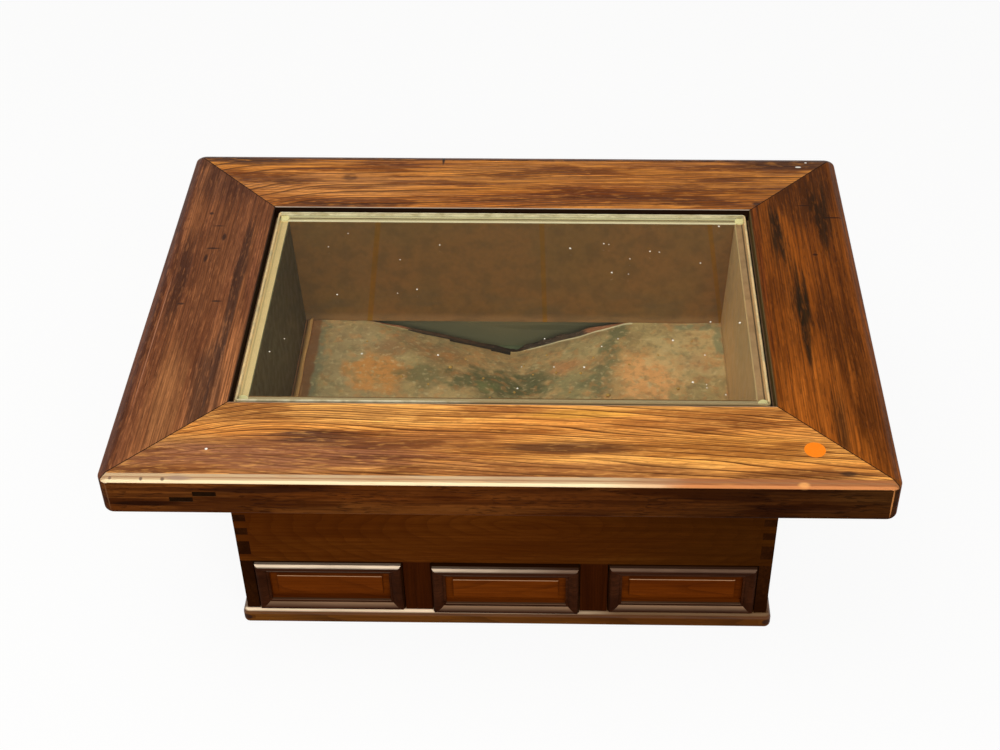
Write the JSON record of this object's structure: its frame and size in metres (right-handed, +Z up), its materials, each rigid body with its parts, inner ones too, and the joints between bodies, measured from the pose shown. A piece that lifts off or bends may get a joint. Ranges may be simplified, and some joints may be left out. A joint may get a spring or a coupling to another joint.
{
  "type": "brazier table",
  "caption": "Low wooden brazier table with a wide mitred top, a finger-jointed box with small drawers, a plinth, and a copper-lined well under a sheet of glass.",
  "frame": {"origin": "on the ground, under the middle of the top", "axes": "+X to the right along the long side, -Y towards the drawers, +Z up"},
  "size_m": [0.67, 0.482, 0.277],
  "materials": {
    "rim_gold": "waxed satin, golden brown with strong dark grain lines",
    "rim_red": "waxed satin, reddish brown",
    "box_wood": "dark brown satin stain over curling grain",
    "plinth_wood": "brown satin, worn on the rounded edges",
    "drawer_wood": "reddish brown satin",
    "moulding_wood": "dark brown satin",
    "key_wood": "end grain, matt",
    "inner_wood": "bare and matt",
    "copper": "aged copper with green and orange patina",
    "sheet_glass": "clear polished",
    "clear_pad": "soft and translucent"
  },
  "bodies": {
    "case": {"rim_front": "rim_gold", "rim_back": "rim_gold", "rim_left": "rim_red", "rim_right": "rim_red", "mitre_tongues": "inner_wood", "bearer_front": "inner_wood", "bearer_back": "inner_wood", "bearer_left": "inner_wood", "bearer_right": "inner_wood", "bearer_pegs": "inner_wood", "partition_left": "inner_wood", "partition_right": "inner_wood", "drawer_guides": "inner_wood", "dust_board": "inner_wood", "base_board": "inner_wood", "draw_keys": "key_wood", "box_front_board": "box_wood", "box_back_board": "box_wood", "box_left_side": "box_wood", "box_right_side": "box_wood", "drawer_stile_left": "box_wood", "drawer_stile_right": "box_wood", "plinth_front": "plinth_wood", "plinth_back": "plinth_wood", "plinth_left": "plinth_wood", "plinth_right": "plinth_wood"},
    "liner": {"liner_wall_front": "copper", "liner_wall_back": "copper", "liner_wall_left": "copper", "liner_wall_right": "copper", "liner_flange": "copper", "liner_floor": "copper"},
    "glass": {"glass_top": "sheet_glass", "glass_pads": "clear_pad"},
    "drawer_left": {"drawer_front_left": "drawer_wood", "drawer_moulding_left": "moulding_wood", "drawer_left_side_left": "inner_wood", "drawer_right_side_left": "inner_wood", "drawer_back_left": "inner_wood", "drawer_bottom_left": "inner_wood"},
    "drawer_middle": {"drawer_front_middle": "drawer_wood", "drawer_moulding_middle": "moulding_wood", "drawer_left_side_middle": "inner_wood", "drawer_right_side_middle": "inner_wood", "drawer_back_middle": "inner_wood", "drawer_bottom_middle": "inner_wood"},
    "drawer_right": {"drawer_front_right": "drawer_wood", "drawer_moulding_right": "moulding_wood", "drawer_left_side_right": "inner_wood", "drawer_right_side_right": "inner_wood", "drawer_back_right": "inner_wood", "drawer_bottom_right": "inner_wood"}
  },
  "joints": [
    {"name": "drawer_left_slide", "type": "slide", "parent": "case", "child": "drawer_left", "axis": [0, -1, 0], "range_m": [0, 0.2]},
    {"name": "drawer_middle_slide", "type": "slide", "parent": "case", "child": "drawer_middle", "axis": [0, -1, 0], "range_m": [-0.003, 0.2]},
    {"name": "drawer_right_slide", "type": "slide", "parent": "case", "child": "drawer_right", "axis": [0, -1, 0], "range_m": [0, 0.2]},
    {"name": "liner_lift", "type": "slide", "parent": "case", "child": "liner", "axis": [0, 0, 1], "range_m": [0, 0.18]},
    {"name": "glass_lift", "type": "slide", "parent": "liner", "child": "glass", "axis": [0, 0, 1], "range_m": [0, 0.1]}
  ]
}
